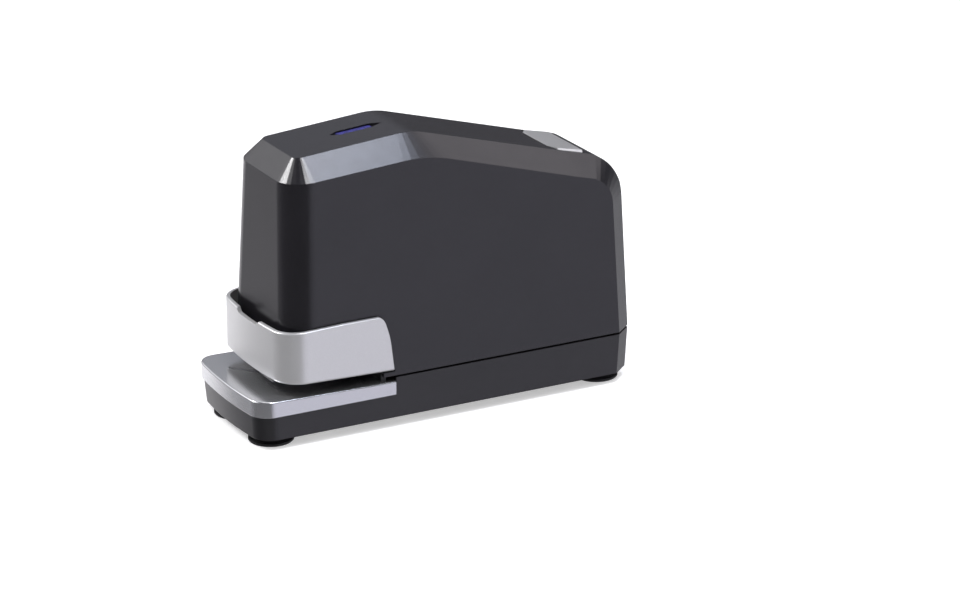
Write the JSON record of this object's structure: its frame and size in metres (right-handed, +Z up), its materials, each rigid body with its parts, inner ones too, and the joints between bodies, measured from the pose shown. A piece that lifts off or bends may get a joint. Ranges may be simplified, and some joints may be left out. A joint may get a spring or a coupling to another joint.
{
  "type": "electric stapler",
  "caption": "Desktop electric stapler: tall faceted hood over a low base, staple drawer with wrap-around nose, solenoid drive, rear release button.",
  "frame": {"origin": "on the surface it stands on, below the middle of the body", "axes": "+Z up, -Y towards the nose and paper throat, +X to the right seen from the front"},
  "size_m": [0.0712, 0.2, 0.1373],
  "materials": {
    "hood": "satin charcoal",
    "base": "satin charcoal",
    "silver": "fine metallic silver paint",
    "foot_rubber": "soft black rubber",
    "zinc_steel": "zinc plated sheet",
    "bright_steel": "ground steel",
    "yoke_iron": "laminated iron, dark",
    "black_plastic": "moulded black",
    "white_plastic": "natural acetal",
    "copper_wire": "enamelled copper wire",
    "board_green": "green board",
    "fin_aluminium": "extruded",
    "blue_lens": "translucent blue"
  },
  "bodies": {
    "housing": {"hood_shell": "hood", "base_shell": "base", "anvil_tray": "silver", "foot_front_left": "foot_rubber", "foot_front_right": "foot_rubber", "foot_rear_left": "foot_rubber", "foot_rear_right": "foot_rubber", "base_screws": "zinc_steel", "power_inlet": "black_plastic", "anvil_plate": "bright_steel", "anvil_block": "zinc_steel", "chassis_floor": "zinc_steel", "frame_plate_left": "zinc_steel", "frame_plate_right": "zinc_steel", "frame_spacers": "zinc_steel", "deck_plate": "zinc_steel", "throat_plate": "black_plastic", "trigger_pin": "bright_steel", "trigger_spring": "bright_steel", "trigger_switch": "black_plastic", "solenoid_yoke": "yoke_iron", "yoke_screws": "zinc_steel", "coil_bobbin": "white_plastic", "coil_winding": "copper_wire", "plunger_spring": "bright_steel", "driver_guide": "zinc_steel", "guide_rods": "bright_steel", "carrier_bumpers": "foot_rubber", "guide_rail_left": "white_plastic", "guide_rail_right": "white_plastic", "latch_pin": "bright_steel", "latch_shelf": "zinc_steel", "latch_spring": "bright_steel", "button_guide": "black_plastic", "button_spring": "bright_steel", "drawer_switch": "black_plastic", "control_board": "board_green", "capacitor": "black_plastic", "heat_sink": "fin_aluminium", "power_relay": "white_plastic", "indicator_lens": "blue_lens", "indicator_board": "board_green"},
    "drawer": {"nose_cover": "silver", "drawer_front_plate": "zinc_steel", "staple_channel": "zinc_steel", "staple_rail": "bright_steel", "drawer_runner_left": "black_plastic", "drawer_runner_right": "black_plastic", "drawer_rear_plate": "zinc_steel"},
    "pusher": {"staple_pusher": "black_plastic", "pusher_spring": "bright_steel", "pusher_pin": "bright_steel"},
    "driver": {"plunger": "bright_steel", "plunger_cap": "bright_steel", "driver_carrier": "zinc_steel", "driver_blade": "bright_steel", "blade_clamp": "zinc_steel"},
    "release_button": {"release_button": "silver"},
    "latch": {"latch_lever": "zinc_steel"},
    "paper_trigger": {"trigger_lever": "black_plastic"}
  },
  "joints": [
    {"name": "drawer_slide", "type": "slide", "parent": "housing", "child": "drawer", "axis": [0, -1, 0], "range_m": [0, 0.118]},
    {"name": "pusher_slide", "type": "slide", "parent": "drawer", "child": "pusher", "axis": [0, 1, 0], "range_m": [0, 0.0995]},
    {"name": "driver_slide", "type": "slide", "parent": "housing", "child": "driver", "axis": [0, 0, -1], "range_m": [0, 0.0135], "stiffness_N_per_m": 400, "springref_m": -0.01, "deforming": ["plunger_spring"]},
    {"name": "button_slide", "type": "slide", "parent": "housing", "child": "release_button", "axis": [0, 0, -1], "range_m": [0, 0.0027], "stiffness_N_per_m": 400, "springref_m": -0.002, "deforming": ["button_spring"]},
    {"name": "latch_hinge", "type": "hinge", "parent": "housing", "child": "latch", "pos_m": [0, 0.066, 0.051], "axis": [-1, 0, 0], "range_deg": [0, 18], "deforming": ["latch_spring"]},
    {"name": "trigger_hinge", "type": "hinge", "parent": "housing", "child": "paper_trigger", "pos_m": [0, -0.04, 0.0126], "axis": [-1, 0, 0], "range_deg": [0, 10], "stiffness_Nm_per_rad": 0.02, "springref_deg": -11.46}
  ],
  "couplings": [
    {"joint": "latch_hinge", "follows": "button_slide", "rad_per_m": 110}
  ]
}
